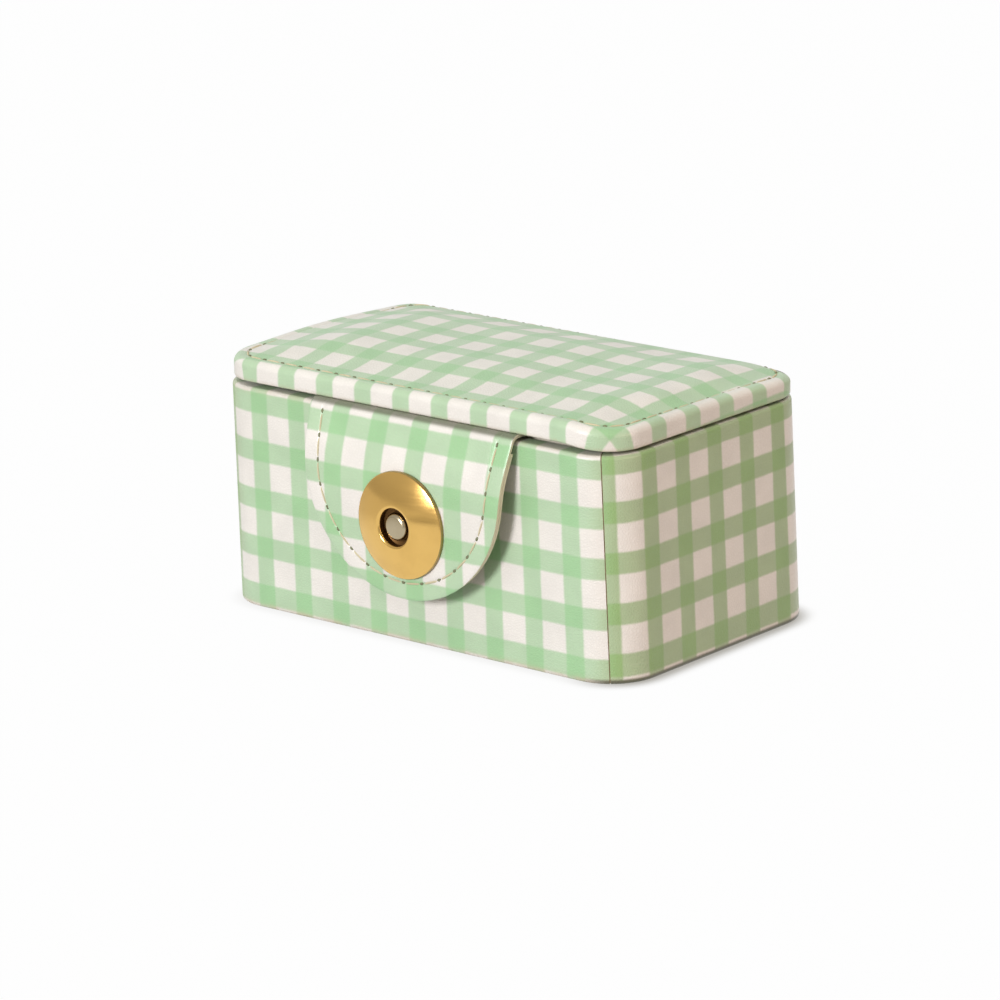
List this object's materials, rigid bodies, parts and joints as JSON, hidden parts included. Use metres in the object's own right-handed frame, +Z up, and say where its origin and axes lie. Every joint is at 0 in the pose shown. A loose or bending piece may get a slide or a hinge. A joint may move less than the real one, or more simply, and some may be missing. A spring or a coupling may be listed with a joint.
{
  "type": "sewing box",
  "caption": "Small rounded box in gingham leatherette with a padded hinged lid and a stitched rounded flap that shuts on the front with a magnetic snap; holds a travel sewing kit.",
  "frame": {"origin": "centre of the underside that the box stands on", "axes": "+X to the right along the front, +Y to the hinged back, +Z up; the flap and its snap face -Y"},
  "size_m": [0.085, 0.0579, 0.0427],
  "materials": {
    "gingham_pu": "printed gingham leatherette, fine pebble grain, soft sheen",
    "plain_pu": "plain cream leatherette, fine grain",
    "greyboard": "raw greyboard and card",
    "lining": "short napped lining fabric",
    "foam": "thin padding foam",
    "brass": "polished brass plate",
    "steel": "plated steel",
    "magnet": "dark sintered magnet"
  },
  "bodies": {
    "base": {"wall_board": "greyboard", "bottom_board": "greyboard", "body_cover": "gingham_pu", "bottom_cover": "plain_pu", "wall_lining": "lining", "floor_card": "greyboard", "floor_lining": "lining", "hinge_strip": "gingham_pu", "keeper_plate": "brass", "keeper_washer": "steel"},
    "lid": {"lid_board": "greyboard", "lid_padding": "foam", "lid_cover": "gingham_pu", "liner_card": "greyboard", "liner_fabric": "lining", "flap_root": "gingham_pu"},
    "flap": {"flap_face": "gingham_pu", "flap_stiffener": "greyboard", "flap_back": "plain_pu", "snap_cap": "brass", "snap_rivet": "steel", "magnet_cup": "brass", "flap_magnet": "magnet"}
  },
  "joints": [
    {"name": "lid_hinge", "type": "hinge", "parent": "base", "child": "lid", "pos_m": [0, 0.02585, 0.03757], "axis": [-1, 0, 0], "range_deg": [0, 110], "deforming": ["hinge_strip"]},
    {"name": "flap_fold", "type": "hinge", "parent": "lid", "child": "flap", "pos_m": [0.0017, -0.02682, 0.03652], "axis": [-1, 0, 0], "range_deg": [0, 90]}
  ]
}
